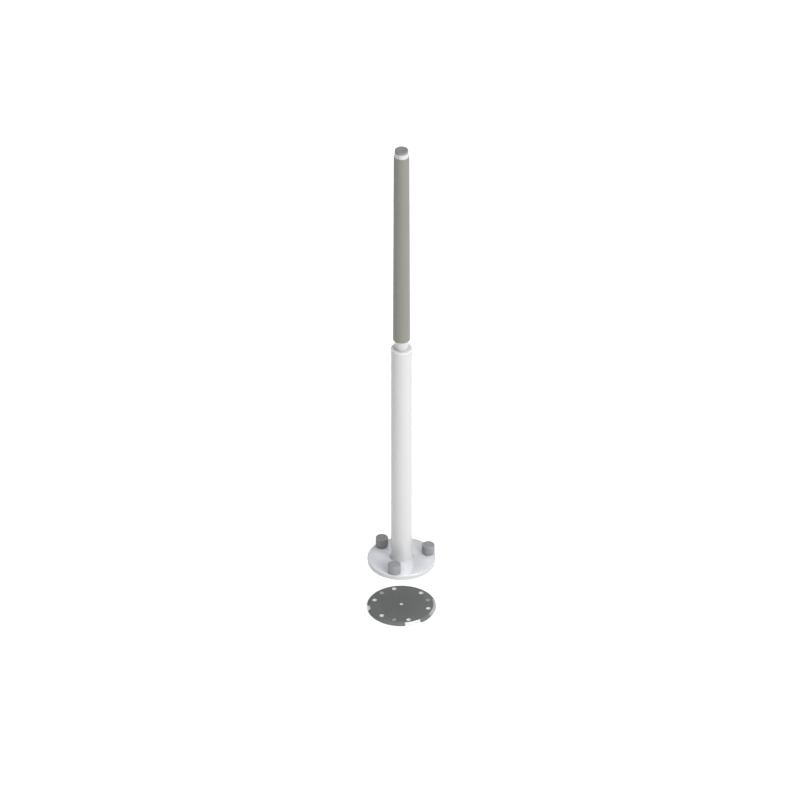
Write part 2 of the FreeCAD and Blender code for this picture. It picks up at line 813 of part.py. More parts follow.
def jack_body():
    """Shell of the coaxial socket: barrel below the plate, shank through it."""
    barrel_foot = "0 - barrel_length"
    cavity_top = "barrel_depth - barrel_length"
    turned_piece("jack_body", "plate_foot", [
        ("insulator_diameter / 2 + fit_gap", "shank_length"),
        ("shank_diameter / 2", "shank_length"),
        ("shank_diameter / 2", "0"),
        ("jack_groove_inner / 2", "0"),
        ("jack_groove_inner / 2", "0 - jack_groove_depth"),
        ("jack_groove_outer / 2", "0 - jack_groove_depth"),
        ("jack_groove_outer / 2", "0"),
        ("jack_flange_diameter / 2", "0"),
        ("jack_flange_diameter / 2", "0 - jack_flange_thickness"),
        ("barrel_diameter / 2", "0 - jack_flange_thickness"),
        ("barrel_diameter / 2", barrel_foot),
        ("barrel_bore / 2", barrel_foot),
        ("barrel_bore / 2", cavity_top),
        ("insulator_diameter / 2 + fit_gap", cavity_top),
    ])
    middle = "(jack_groove_inner + jack_groove_outer) / 2"
    seal("jack_seal", middle, "jack_groove_depth", "plate_foot - jack_groove_depth / 2")


def jack_insulator():
    """Insulator that holds the contact in the shell."""
    shoulder = "barrel_depth - barrel_length"
    turned_piece("jack_insulator", "plate_foot", [
        ("contact_diameter / 2 + fit_gap", shoulder + " - 2"),
        ("barrel_bore / 2 - fit_gap", shoulder + " - 2"),
        ("barrel_bore / 2 - fit_gap", shoulder),
        ("insulator_diameter / 2", shoulder),
        ("insulator_diameter / 2", "shank_length"),
        ("contact_diameter / 2 + fit_gap", "shank_length"),
    ])


def jack_contact():
    """Centre contact, bored for the plug's pin."""
    turned_piece("jack_contact", "plate_foot", [
        ("contact_socket / 2", "0 - contact_reach"),
        ("contact_diameter / 2", "0 - contact_reach"),
        ("contact_diameter / 2", "shank_length + 1"),
        ("0", "shank_length + 1"),
        ("0", "0 - contact_reach / 2"),
        ("contact_socket / 2", "0 - contact_reach / 2"),
    ])


def jack_nut():
    """Hexagon nut on the shank, above the plate."""
    hexagon = DOC.addObject("Part::Prism", "jack_nut_hexagon")
    hexagon.Polygon = 6
    bind(hexagon, Circumradius="nut_corner_diameter / 2", Height="nut_height",
         Placement__Base__z=PLATE_TOP)
    nut = DOC.addObject("Part::Cut", "jack_nut")
    nut.Base = hexagon
    nut.Tool = cylinder("jack_nut_bore", "shank_diameter + 2 * fit_gap", "nut_height", PLATE_TOP)
    PIECES.append(nut)


# ---------------------------------------------------------------- checks and export

def check_document():
    """Stops if any object failed, if a cut removed nothing, or if a piece isn't a sound solid."""
    for item in DOC.Objects:
        if "Invalid" in item.State or "Error" in item.State:
            raise RuntimeError("%s failed: %s" % (item.Label, item.State))
        if item.TypeId in ("PartDesign::Pocket", "PartDesign::Groove"):
            if item.Shape.Volume > item.BaseFeature.Shape.Volume - TINY:
                raise RuntimeError("%s of %s cuts nothing" % (item.Label, item._Body.Label))
    for piece in PIECES:
        if piece.Shape.isNull() or not piece.Shape.isValid() or not piece.Shape.Solids:
            raise RuntimeError("%s has no valid solid" % piece.Label)


def export_pieces():
    """Writes each piece to a STEP file named after it."""
    os.makedirs("parts", exist_ok=True)
    for piece in PIECES:
        piece.Shape.exportStep("parts/%s.step" % piece.Label)
        box = piece.Shape.BoundBox
        print("%-18s %2d solid(s) %10.1f mm3  z %7.1f to %7.1f"
              % (piece.Label, len(piece.Shape.Solids), piece.Shape.Volume, box.ZMin, box.ZMax))


SHEET = make_sheet()

mounting_disc()
disc_pad()
thread_inserts()

base_flange()
mast_tube()
weld_bead()
mast_bush()

for screw_number in range(SCREW_COUNT):
    thumbscrew(screw_number)

neck_ferrule()
radome()
top_collar()
top_cap()

feed_line()
dipole_sleeves()
gap_insulators()
foam_spacers()

matching_can()
matching_lid()
matching_board()

feed_cable()
crimp_sleeve()
cable_spacers()
choke_beads()

support_ring()
connector_plate()
plate_screws()
jack_body()
jack_insulator()
jack_contact()
jack_nut()

DOC.recompute()
check_document()
export_pieces()
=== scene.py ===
import json
import math

import bmesh
import bpy
from mathutils import Matrix, Vector


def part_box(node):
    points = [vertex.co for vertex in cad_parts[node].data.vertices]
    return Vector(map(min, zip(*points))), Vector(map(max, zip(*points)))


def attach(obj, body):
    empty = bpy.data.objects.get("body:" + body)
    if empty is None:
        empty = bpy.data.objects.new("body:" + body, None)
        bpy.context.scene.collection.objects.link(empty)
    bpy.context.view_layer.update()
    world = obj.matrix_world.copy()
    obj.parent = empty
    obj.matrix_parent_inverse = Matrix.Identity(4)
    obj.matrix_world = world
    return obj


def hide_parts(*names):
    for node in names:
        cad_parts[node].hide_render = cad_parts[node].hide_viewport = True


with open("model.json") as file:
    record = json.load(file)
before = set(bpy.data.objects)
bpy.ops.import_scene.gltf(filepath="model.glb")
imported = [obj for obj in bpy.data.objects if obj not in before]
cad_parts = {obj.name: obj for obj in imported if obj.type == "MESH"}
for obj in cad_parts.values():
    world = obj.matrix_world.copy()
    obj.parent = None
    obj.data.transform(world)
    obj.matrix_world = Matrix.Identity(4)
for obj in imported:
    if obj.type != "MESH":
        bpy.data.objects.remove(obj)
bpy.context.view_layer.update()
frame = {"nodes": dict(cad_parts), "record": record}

MM = 0.001
SEGMENTS = 144
TURN = 2 * math.pi


# ---------------------------------------------------------------- places, some read from the frame and the rest given

def low(node):
    """Lowest z of a CAD node at rest."""
    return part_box(node)[0].z


def high(node):
    """Highest z of a CAD node at rest."""
    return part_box(node)[1].z


def radius(node):
    """Half of a CAD node's larger width, its radius when it is round."""
    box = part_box(node)
    return max(box[1].x - box[0].x, box[1].y - box[0].y) / 2


def centre(node):
    """Middle of a CAD node's box."""
    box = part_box(node)
    return (box[0] + box[1]) / 2


def angle_of(node):
    """Angle of a CAD node's middle about the antenna's axis."""
    middle = centre(node)
    return math.atan2(middle.y, middle.x)


MOUNTS = {mount["name"]: mount for mount in frame["record"]["mounts"]}
SCREWS = ("1", "2", "3")
AXIS = (0.0, 0.0)

SCREW_CIRCLE = Vector(centre("thumb_knob_1").xy).length
FIRST_SCREW = angle_of("thumb_knob_1")
FIXING_CIRCLE = MOUNTS["fixing_holes"]["dims"]["pcd_mm"] * MM / 2
FIXING_COUNT = MOUNTS["fixing_holes"]["dims"]["count"]
FIXING_RADIUS = MOUNTS["fixing_holes"]["dims"]["hole_r_mm"] * MM
FIRST_FIXING = FIRST_SCREW + math.radians(30)
CABLE_HOLE_RADIUS = MOUNTS["cable_hole"]["dims"]["r_mm"] * MM

MARK_NEAR, MARK_FAR = 22 * MM, 23.2 * MM
MARK_LENGTH, MARK_DEPTH = 13 * MM, 0.4 * MM
STUD_HOLE_RADIUS = 5 * MM
INSERT_HOLE_RADIUS = 5.2 * MM
STUD_RADIUS = 4 * MM
STUD_PITCH = 1.25 * MM
STUD_HEAD_HEIGHT = 8 * MM
STUD_HEAD_RADIUS = 6.3 * MM
TUBE_BORE = 22.5 * MM
NECK_RADIUS = 16.5 * MM
NECK_BORE = 13 * MM
RADOME_TIP_RADIUS = 18.5 * MM
RADOME_WALL = 2.5 * MM
COLLAR_SPIGOT = 15.85 * MM
COLLAR_BORE = 10 * MM
BEVEL_TOP_RADIUS = 75.5 * MM
BEVEL_DEPTH = 3.7 * MM
NOTCH_INNER_RADIUS = 76 * MM
SIDE_NOTCH = (math.radians(186), math.radians(18))
FRONT_NOTCH = (math.radians(291), math.radians(30))
# Arc of the disc's bevel that faces the key light, where a painted highlight is laid on.
HIGHLIGHT_ARC = (math.radians(353), math.radians(56))


# ---------------------------------------------------------------- mesh helpers

def rounded(corners, steps=4):
    """Closed profile from (radius, z, rounding) corners, each corner turned into an arc."""
    profile = []
    count = len(corners)
    for index, (r, z, rounding) in enumerate(corners):
        here = Vector((r, z))
        if rounding <= 0:
            profile.append((r, z))
            continue
        back = (Vector(corners[index - 1][:2]) - here).normalized()
        ahead = (Vector(corners[(index + 1) % count][:2]) - here).normalized()
        half = back.angle(ahead) / 2
        start = here + back * (rounding / math.tan(half))
        end = here + ahead * (rounding / math.tan(half))
        middle = here + (back + ahead).normalized() * (rounding / math.sin(half))
        first, last = (start - middle).normalized(), (end - middle).normalized()
        for step in range(steps + 1):
            point = middle + first.slerp(last, step / steps) * rounding
            profile.append((point.x, point.y))
    return profile


def divided(profile, span, step):
    """The profile with the long stretches inside a span of z cut into short ones."""
    result = []
    for here, there in zip(profile, profile[1:] + profile[:1]):
        result.append(here)
        lower, upper = sorted((here[1], there[1]))
        inside = span[0] - 1e-7 <= lower and upper <= span[1] + 1e-7
        pieces = math.ceil(abs(there[1] - here[1]) / step) if inside else 1
        for index in range(1, pieces):
            share = index / pieces
            result.append((here[0] + (there[0] - here[0]) * share,
                           here[1] + (there[1] - here[1]) * share))
    return result


def turned_mesh(profile, at=AXIS, segments=SEGMENTS, shape=None):
    """Mesh turned from a closed (radius, z) profile; shape may change a radius by angle and z."""
    mesh = bmesh.new()
    rings = []
    for r, z in profile:
        if r < 1e-7:
            rings.append([mesh.verts.new((at[0], at[1], z))])
            continue
        ring = []
        for index in range(segments):
            angle = TURN * index / segments
            reach = shape(r, z, angle) if shape else r
            ring.append(mesh.verts.new((at[0] + reach * math.cos(angle),
                                        at[1] + reach * math.sin(angle), z)))
        rings.append(ring)
    for here, there in zip(rings, rings[1:] + rings[:1]):
        join_rings(mesh, here, there, segments)
    bmesh.ops.recalc_face_normals(mesh, faces=mesh.faces)
    return mesh


def join_rings(mesh, here, there, segments):
    """Faces between two rings, either of which may be a single point on the axis."""
    if len(here) == 1 and len(there) == 1:
        return
    for index in range(segments):
        after = (index + 1) % segments
        corners = [here[index % len(here)], here[after % len(here)],
                   there[after % len(there)], there[index % len(there)]]
        mesh.faces.new(list(dict.fromkeys(corners)))


def prism(mesh, outline, bottom, top):
    """Adds a closed prism over a flat outline."""
    floor = [mesh.verts.new((x, y, bottom)) for x, y in outline]
    roof = [mesh.verts.new((x, y, top)) for x, y in outline]
    mesh.faces.new(floor[::-1])
    mesh.faces.new(roof)
    for index in range(len(outline)):
        after = (index + 1) % len(outline)
        mesh.faces.new((floor[index], floor[after], roof[after], roof[index]))


def circle_outline(x, y, r, segments=64):
    """Points of a circle."""
    return [(x + r * math.cos(TURN * i / segments), y + r * math.sin(TURN * i / segments))
            for i in range(segments)]


def sector_outline(inner, outer, middle, width, steps=24):
    """Points round a sector of a ring."""
    angles = [middle + width * (i / steps - 0.5) for i in range(steps + 1)]
    inside = [(inner * math.cos(a), inner * math.sin(a)) for a in angles]
    outside = [(outer * math.cos(a), outer * math.sin(a)) for a in reversed(angles)]
    return (inside + outside)[::-1]


def make_object(name, mesh):
    """Object from a bmesh, in the row frame."""
    data = bpy.data.meshes.new(name)
    mesh.to_mesh(data)
    mesh.free()
    thing = bpy.data.objects.new(name, data)
    bpy.context.scene.collection.objects.link(thing)
    return thing


def bake_modifiers(thing):
    """Turns an object's modifiers into its mesh."""
    bpy.context.view_layer.update()
    graph = bpy.context.evaluated_depsgraph_get()
    data = bpy.data.meshes.new_from_object(thing.evaluated_get(graph))
    thing.modifiers.clear()
    thing.data = data


def smooth(thing, degrees=35):
    """Smooth shading with sharp edges kept."""
    thing.data.shade_smooth()
    thing.data.set_sharp_from_angle(angle=math.radians(degrees))


def drill(thing, outlines, bottom, top):
    """Cuts prisms over flat outlines out of an object."""
    cutter_mesh = bmesh.new()
    for outline in outlines:
        prism(cutter_mesh, outline, bottom, top)
    bmesh.ops.recalc_face_normals(cutter_mesh, faces=cutter_mesh.faces)
    cutter = make_object("cutter", cutter_mesh)
    cut = thing.modifiers.new("Cut", "BOOLEAN")
    cut.operation = "DIFFERENCE"
    cut.solver = "EXACT"
    cut.object = cutter
    bake_modifiers(thing)
    bpy.data.objects.remove(cutter)


def deburr(thing, width, degrees=40):
    """Small bevel along every sharp edge."""
    bevel = thing.modifiers.new("Deburr", "BEVEL")
    bevel.width = width
    bevel.segments = 2
    bevel.limit_method = "ANGLE"
    bevel.angle_limit = math.radians(degrees)
    bake_modifiers(thing)


def settle(thing, body, material, slot, *nodes):
    """Gives a new piece its material and body, and puts it in place of its CAD nodes."""
    thing.data.materials.clear()
    thing.data.materials.append(material)
    smooth(thing)
    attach(thing, body)
    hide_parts(*nodes)
    return thing


# ---------------------------------------------------------------- shader helpers

class Shader:
    """A material's node tree with short calls for the nodes that the materials here share."""

    def __init__(self, name):
        self.material = bpy.data.materials.new(name)
        self.material.use_nodes = True
        self.tree = self.material.node_tree
        self.surface = self.tree.nodes["Principled BSDF"]
        self.place = self.tree.nodes.new("ShaderNodeTexCoord").outputs["Object"]

    def link(self, value, socket):
        """Plugs a socket in, or sets a plain value."""
        if isinstance(value, bpy.types.NodeSocket):
            self.tree.links.new(value, socket)
        else:
            socket.default_value = value

    def set(self, **values):
        """Sets uniform values on the surface's own sockets."""
        for name, value in values.items():
            self.surface.inputs[name.replace("_", " ")].default_value = value

    def feed(self, name, value):
        """Feeds a varying value to one of the surface's sockets."""
        self.link(value, self.surface.inputs[name])

    def math(self, operation, *values):
        """Math node."""
        node = self.tree.nodes.new("ShaderNodeMath")
        node.operation = operation
        for socket, value in zip(node.inputs, values):
            self.link(value, socket)
        return node.outputs[0]

    def stretched(self, scale):
        """Object coordinates, scaled along each axis."""
        node = self.tree.nodes.new("ShaderNodeVectorMath")
        node.operation = "MULTIPLY"
        self.link(self.place, node.inputs[0])
        node.inputs[1].default_value = scale
        return node.outputs[0]

    def noise(self, scale, detail=3.0, stretch=(1, 1, 1)):
        """Noise between 0 and 1."""
        node = self.tree.nodes.new("ShaderNodeTexNoise")
        self.link(self.stretched(stretch), node.inputs["Vector"])
        node.inputs["Scale"].default_value = scale
        node.inputs["Detail"].default_value = detail
        return node.outputs["Fac"]

    def cells(self, scale):
        """Distance to the nearest cell's middle."""
        node = self.tree.nodes.new("ShaderNodeTexVoronoi")
        self.link(self.place, node.inputs["Vector"])
        node.inputs["Scale"].default_value = scale
        return node.outputs["Distance"]

    def between(self, value, start, end, first=0.0, last=1.0):
        """Maps start..end smoothly onto first..last."""
        node = self.tree.nodes.new("ShaderNodeMapRange")
        node.interpolation_type = "SMOOTHSTEP"
        for name, number in (("Value", value), ("From Min", start), ("From Max", end),
                             ("To Min", first), ("To Max", last)):
            self.link(number, node.inputs[name])
        return node.outputs[0]

    def mix(self, factor, first, second):
        """Mixes two colours."""
        node = self.tree.nodes.new("ShaderNodeMix")
        node.data_type = "RGBA"
        for socket, value in ((node.inputs[0], factor), (node.inputs[6], first),
                              (node.inputs[7], second)):
            self.link(value, socket)
        return node.outputs[2]

    def bump(self, *layers):
        """Bumps the surface by (height, distance) layers, one on top of another."""
        normal = None
        for height, distance in layers:
            node = self.tree.nodes.new("ShaderNodeBump")
            node.inputs["Strength"].default_value = 1.0
            node.inputs["Distance"].default_value = distance
            self.link(height, node.inputs["Height"])
            if normal:
                self.link(normal, node.inputs["Normal"])
            normal = node.outputs[0]
        self.feed("Normal", normal)

    def axes(self):
        """X, Y and Z of the object coordinates."""
        node = self.tree.nodes.new("ShaderNodeSeparateXYZ")
        self.link(self.place, node.inputs[0])
        return node.outputs

    def distance_from_axis(self):
        """Distance from the antenna's axis."""
        x, y, _ = self.axes()
        squares = self.math("ADD", self.math("MULTIPLY", x, x), self.math("MULTIPLY", y, y))
        return self.math("SQRT", squares)

    def angle_from(self, middle):
        """Absolute angle about the antenna's axis, counted from a middle angle."""
        x, y, _ = self.axes()
        along = self.math("ADD", self.math("MULTIPLY", x, math.cos(middle)),
                          self.math("MULTIPLY", y, math.sin(middle)))
        across = self.math("SUBTRACT", self.math("MULTIPLY", y, math.cos(middle)),
                           self.math("MULTIPLY", x, math.sin(middle)))
        return self.math("ABSOLUTE", self.math("ARCTAN2", across, along))


def tint(colour, factor):
    """A colour made lighter or darker."""
    return tuple(min(1.0, channel * factor) for channel in colour) + (1.0,)


# ---------------------------------------------------------------- materials

def mottled(name, colour, spread, scale, roughness, grain, grain_depth, stretch=(1, 1, 1)):
    """Base for moulded and painted surfaces: faint mottling, uneven gloss and a fine grain."""
    shader = Shader(name)
    patches = shader.noise(scale, 4.0, stretch)
    shader.feed("Base Color", shader.mix(patches, tint(colour, 1 - spread),
                                         tint(colour, 1 + spread)))
    gloss = shader.noise(scale * 5, 3.0, stretch)
    shader.feed("Roughness", shader.between(gloss, 0.3, 0.7, roughness[0], roughness[1]))
    shader.bump((shader.noise(grain, 2.0, stretch), grain_depth))
    return shader


def flange_lacquer():
    """Pearl lacquer on the faces, glossy enough to mirror the tube; on the rim a flat mid grey
    without gloss, which is painted shade of the side wall.
    """
    shader = mottled("flange_lacquer", (0.84, 0.855, 0.9), 0.01, 30, (0.17, 0.24), 300, 0.0000015)
    edge = radius("base_flange")
    on_faces = shader.between(shader.distance_from_axis(), edge - 0.5 * MM, edge - 0.1 * MM,
                              1.0, 0.0)
    pearl = shader.surface.inputs["Base Color"].links[0].from_socket
    # The rim's side wall gets a mid grey (0.55) in place of the pearl white: painted shade.
    shader.feed("Base Color", shader.mix(on_faces, tint((0.55, 0.55, 0.555), 1.0), pearl))
    shader.feed("Metallic", shader.math("MULTIPLY", on_faces, 0.27))
    shader.feed("Coat Weight", shader.math("MULTIPLY", on_faces, 0.3))
    shader.set(Coat_Roughness=0.15)
    return shader.material


def white_paint(name, shade):
    """White powder coat with a soft orange peel."""
    shader = mottled(name, (shade, shade, shade * 1.008), 0.012, 18, (0.3, 0.37), 650, 0.000025,
                     (1, 1, 0.25))
    shader.set(Coat_Weight=0.25, Coat_Roughness=0.2)
    return shader.material


def radome_shell():
    """Satin glass-fibre in warm grey, with faint drawn lines along its length."""
    shader = Shader("radome_shell")
    colour = (0.222, 0.222, 0.199)
    fibres = shader.noise(420, 3.0, (1, 1, 0.02))
    clouds = shader.noise(14, 4.0, (1, 1, 0.3))
    fibre_colour = shader.mix(fibres, tint(colour, 0.93), tint(colour, 1.07))
    shader.feed("Base Color", shader.mix(shader.between(clouds, 0.3, 0.7, 0.0, 0.5), fibre_colour,
                                         tint((0.231, 0.226, 0.192), 1.0)))
    shader.feed("Roughness", shader.between(clouds, 0.3, 0.7, 0.42, 0.54))
    shader.bump((fibres, 0.00004), (shader.noise(1400, 2.0), 0.00002))
    return shader.material


def knob_plastic():
    """Grey moulded plastic with a spark-eroded grain."""
    shader = mottled("knob_plastic", (0.275, 0.285, 0.295), 0.04, 120, (0.42, 0.55), 2600, 0.00005)
    return shader.material


def cap_plastic():
    """Grey moulded plastic of the top cap."""
    shader = mottled("cap_plastic", (0.25, 0.25, 0.25), 0.03, 90, (0.4, 0.52), 2200, 0.00004)
    return shader.material


def collar_plastic():
    """White moulded plastic, slightly glossy."""
    shader = mottled("collar_plastic", (0.6, 0.6, 0.59), 0.01, 60, (0.28, 0.36), 1500, 0.00002)
    return shader.material


def near_holes(shader, reach):
    """1 within reach of the axis of a fixing hole or of the cable hole, else 0."""
    step = TURN / FIXING_COUNT
    x, y, _ = shader.axes()
    angle = shader.math("SUBTRACT", shader.math("ARCTAN2", y, x), FIRST_FIXING - step / 2)
    folded = shader.math("SUBTRACT", shader.math("FLOORED_MODULO", angle, step), step / 2)
    r = shader.distance_from_axis()
    across = shader.math("MULTIPLY", r, shader.math("SINE", folded))
    along = shader.math("SUBTRACT", shader.math("MULTIPLY", r, shader.math("COSINE", folded)),
                        FIXING_CIRCLE)
    squares = shader.math("ADD", shader.math("MULTIPLY", across, across),
                          shader.math("MULTIPLY", along, along))
    near_fixing = shader.math("LESS_THAN", shader.math("SQRT", squares), FIXING_RADIUS + reach)
    near_cable = shader.math("LESS_THAN", r, CABLE_HOLE_RADIUS + reach)
    return shader.math("MAXIMUM", near_fixing, near_cable)


def notch_walls(shader):
    """1 on the inner walls of the rim notches, which are cut after painting, else 0."""
    r = shader.distance_from_axis()
    at_wall = shader.math("COMPARE", r, NOTCH_INNER_RADIUS, 0.0003)
    inside = [shader.math("LESS_THAN", shader.angle_from(middle), width / 2)
              for middle, width in (SIDE_NOTCH, FRONT_NOTCH)]
    return shader.math("MULTIPLY", at_wall, shader.math("MAXIMUM", *inside))


def disc_paint():
    """Dark grey textured coat, pale bare metal in the holes and on the notch walls, with a painted
    highlight on the part of the bevel that faces the key light.
    """
    shader = Shader("disc_paint")
    colour = (0.148, 0.156, 0.152)
    speckle = shader.noise(900, 2.0)
    clouds = shader.noise(25, 3.0)
    paint = shader.mix(speckle, tint(colour, 0.88), tint(colour, 1.12))
    paint = shader.mix(shader.between(clouds, 0.3, 0.7, 0.0, 0.35), paint, tint(colour, 0.95))
    # Pale metal colour: the bare walls of the holes and notches, and also the colour of the painted
    # highlight on the bevel.
    bare_metal_and_highlight = shader.mix(shader.noise(300, 2.0, (1, 1, 6)), tint((0.9, 0.91, 0.92), 1.0),
                         tint((0.78, 0.79, 0.8), 1.0))
    in_holes = near_holes(shader, 0.0008)
    # Painted highlight: 40 percent of the pale colour on the bevel arc that faces the key light.
    on_bevel = shader.between(shader.distance_from_axis(), BEVEL_TOP_RADIUS,
                              BEVEL_TOP_RADIUS + 0.0008)
    in_highlight_arc = shader.between(shader.angle_from(HIGHLIGHT_ARC[0]), HIGHLIGHT_ARC[1] / 2, HIGHLIGHT_ARC[1] / 2 - 0.15)
    painted_highlight = shader.math("MULTIPLY", shader.math("MULTIPLY", on_bevel, in_highlight_arc), 0.4)
    # Mask of real bare metal (holes, notch walls) together with the painted highlight.
    bare_and_highlight_mask = shader.math("MAXIMUM", shader.math("MAXIMUM", in_holes, painted_highlight), notch_walls(shader))
    shader.feed("Base Color", shader.mix(bare_and_highlight_mask, paint, bare_metal_and_highlight))
    shader.feed("Metallic", shader.math("MULTIPLY", bare_and_highlight_mask, 0.15))
    shader.feed("Roughness", shader.math("SUBTRACT", 0.52, shader.math("MULTIPLY", bare_and_highlight_mask, 0.2)))
    shader.bump((speckle, 0.00004))
    return shader.material


def pale_foam():
    """White closed-cell foam."""
    shader = Shader("pale_foam")
    cells = shader.cells(900)
    shader.feed("Base Color", shader.mix(cells, tint((0.9, 0.9, 0.89), 1.0),
                                         tint((0.8, 0.8, 0.79), 1.0)))
    shader.feed("Roughness", shader.between(cells, 0.0, 0.8, 0.95, 0.8))
    shader.bump((cells, 0.00008))
    return shader.material


def metal(name, colour, roughness, stretch):
    """Machined or drawn metal with fine marks along one direction."""
    shader = Shader(name)
    marks = shader.noise(500, 3.0, stretch)
    shader.feed("Base Color", shader.mix(marks, tint(colour, 0.92), tint(colour, 1.06)))
    shader.feed("Roughness", shader.between(marks, 0.3, 0.7, roughness[0], roughness[1]))
    shader.bump((marks, 0.00001))
    shader.set(Metallic=1.0)
    return shader.material


def plain_finish(name, colour, roughness, grain=1200, depth=0.00003):
    """Matt finish with a fine grain, for rubber, nylon, fluoropolymer and ferrite."""
    return mottled(name, colour, 0.05, 70, roughness, grain, depth).material


def circuit_board():
    """Green laminate with the weave of its glass cloth."""
    shader = Shader("circuit_board")
    weave = shader.tree.nodes.new("ShaderNodeTexChecker")
    shader.link(shader.place, weave.inputs["Vector"])
    weave.inputs["Scale"].default_value = 1600
    weave.inputs["Color1"].default_value = (0.045, 0.17, 0.07, 1)
    weave.inputs["Color2"].default_value = (0.06, 0.21, 0.09, 1)
    shader.feed("Base Color", weave.outputs["Color"])
    shader.feed("Roughness", shader.between(shader.noise(200), 0.3, 0.7, 0.28, 0.4))
    shader.bump((weave.outputs["Fac"], 0.00001))
    return shader.material


# ---------------------------------------------------------------- pieces: disc and flange

def screw_places(circle, first, count):
    """Centres of an even ring of holes."""
    angles = [first + TURN * index / count for index in range(count)]
    return [(circle * math.cos(angle), circle * math.sin(angle)) for angle in angles]


def make_disc(material):
    """Mounting disc: bevelled blank, drilled, notched, marked and deburred."""
    bottom, top, edge = low("mounting_disc"), high("mounting_disc"), radius("disc_pad")
    profile = rounded([
        (0, bottom, 0),
        (edge, bottom, 0.3 * MM),
        (edge, top - BEVEL_DEPTH, 0.5 * MM),
        (BEVEL_TOP_RADIUS, top, 1.2 * MM),
        (0, top, 0),
    ])
    disc = make_object("mounting_disc_plate", turned_mesh(profile, segments=240))
    holes = [circle_outline(x, y, FIXING_RADIUS)
             for x, y in screw_places(FIXING_CIRCLE, FIRST_FIXING, FIXING_COUNT)]
    holes += [circle_outline(x, y, INSERT_HOLE_RADIUS)
              for x, y in screw_places(SCREW_CIRCLE, FIRST_SCREW, len(SCREWS))]
    holes.append(circle_outline(0, 0, CABLE_HOLE_RADIUS))
    holes += [sector_outline(NOTCH_INNER_RADIUS, edge + 2 * MM, *notch)
              for notch in (SIDE_NOTCH, FRONT_NOTCH)]
    drill(disc, holes, bottom - MM, top + MM)
    mark = [(0, MARK_NEAR), (MARK_LENGTH, MARK_NEAR), (MARK_LENGTH, MARK_FAR), (0, MARK_FAR)]
    drill(disc, [mark], top - MARK_DEPTH, top + MM)
    deburr(disc, 0.18 * MM)
    settle(disc, "mount", material, "disc_paint", "mounting_disc")


def make_flange(material):
    """Flange: turned blank with rounded edges, drilled for the studs."""
    bottom, top, edge = low("base_flange"), high("base_flange"), radius("base_flange")
    profile = rounded([
        (TUBE_BORE, bottom, 0.3 * MM),
        (edge, bottom, 1.5 * MM),
        (edge, top, 1.5 * MM),
        (TUBE_BORE, top, 0),
    ], steps=6)
    flange = make_object("flange_plate", turned_mesh(profile, segments=240))
    holes = [circle_outline(x, y, STUD_HOLE_RADIUS)
             for x, y in screw_places(SCREW_CIRCLE, FIRST_SCREW, len(SCREWS))]
    drill(flange, holes, bottom - MM, top + MM)
    deburr(flange, 0.25 * MM, 60)
    settle(flange, "antenna", material, "white_paint", "base_flange")


def make_weld(material):
    """Weld bead with the soft ripple that is left under paint."""
    bottom, top = low("weld_bead"), high("weld_bead")
    inner = radius("mast_tube")
    leg = top - bottom
    ripples = 46
    profile = [(inner, bottom), (inner + leg, bottom)]
    for step in range(1, 8):
        slope = step / 8
        sag = 0.35 * math.sin(math.pi * slope) * leg * 0.5
        profile.append((inner + leg * (1 - slope) - sag * 0.7, bottom + leg * slope - sag * 0.7))
    profile.append((inner, top))

    def rippled(r, z, angle):
        depth = min(r - inner, leg * 0.5)
        return r - 0.1 * depth * (0.5 + 0.5 * math.cos(ripples * angle + 900 * (z - bottom)))

    bead = make_object("weld_fillet", turned_mesh(profile, segments=ripples * 8, shape=rippled))
    settle(bead, "antenna", material, "white_paint", "weld_bead")


# ---------------------------------------------------------------- pieces: tube, neck and radome

def make_tube(material):
    """Mast tube with its bore and slightly broken ends."""
    bottom, top, outer = low("mast_tube"), high("mast_tube"), radius("mast_tube")
    profile = rounded([
        (TUBE_BORE, bottom, 0),
        (outer, bottom, 0),
        (outer, top, 0.25 * MM),
        (TUBE_BORE, top, 0),
    ])
    tube = make_object("mast_tube_shell", turned_mesh(profile))
    settle(tube, "antenna", material, "white_paint", "mast_tube")


def make_bush(material):
    """Bush with a rounded lip that closes the tube."""
    bottom, top, outer = low("mast_bush"), high("mast_bush"), radius("mast_bush")
    seat = high("mast_tube")
    inner = NECK_RADIUS + 0.05 * MM
    profile = rounded([
        (inner, bottom, 0),
        (TUBE_BORE - 0.05 * MM, bottom, 0.4 * MM),
        (TUBE_BORE - 0.05 * MM, seat, 0),
        (outer, seat, 0.25 * MM),
        (outer, top, 1.1 * MM),
        (inner, top, 0.4 * MM),
    ], steps=6)
    bush = make_object("mast_bush_turned", turned_mesh(profile))
    settle(bush, "antenna", material, "white_paint", "mast_bush")


def make_neck(material):
    """Hollow neck, wider inside the radome's foot."""
    bottom, top = low("neck_ferrule"), high("neck_ferrule")
    shoulder = low("radome") + 1 * MM
    spigot = radius("neck_ferrule")
    groove_bottom = low("neck_seal") - 0.1 * MM
    groove_top = high("neck_seal") + 0.2 * MM
    groove = spigot - 1.7 * MM
    profile = rounded([
        (NECK_BORE, bottom, 0),
        (NECK_RADIUS, bottom, 0.5 * MM),
        (NECK_RADIUS, shoulder, 0.3 * MM),
        (spigot, shoulder, 0.2 * MM),
        (spigot, groove_bottom, 0),
        (groove, groove_bottom, 0),
        (groove, groove_top, 0),
        (spigot, groove_top, 0),
        (spigot, top, 0.5 * MM),
        (NECK_BORE, top, 0),
    ])
    neck = make_object("neck_turned", turned_mesh(profile))
    settle(neck, "antenna", material, "white_paint", "neck_ferrule")


def make_radome(material):
    """Tapered radome tube with rounded ends."""
    bottom, top = low("radome"), high("radome")
    foot = radius("radome")
    profile = rounded([
        (foot - RADOME_WALL, bottom, 0.3 * MM),
        (foot, bottom, 1.3 * MM),
        (RADOME_TIP_RADIUS, top, 0.9 * MM),
        (RADOME_TIP_RADIUS - RADOME_WALL, top, 0.3 * MM),
    ], steps=6)
    shell = make_object("radome_tube", turned_mesh(profile))
    settle(shell, "antenna", material, "radome_shell", "radome")


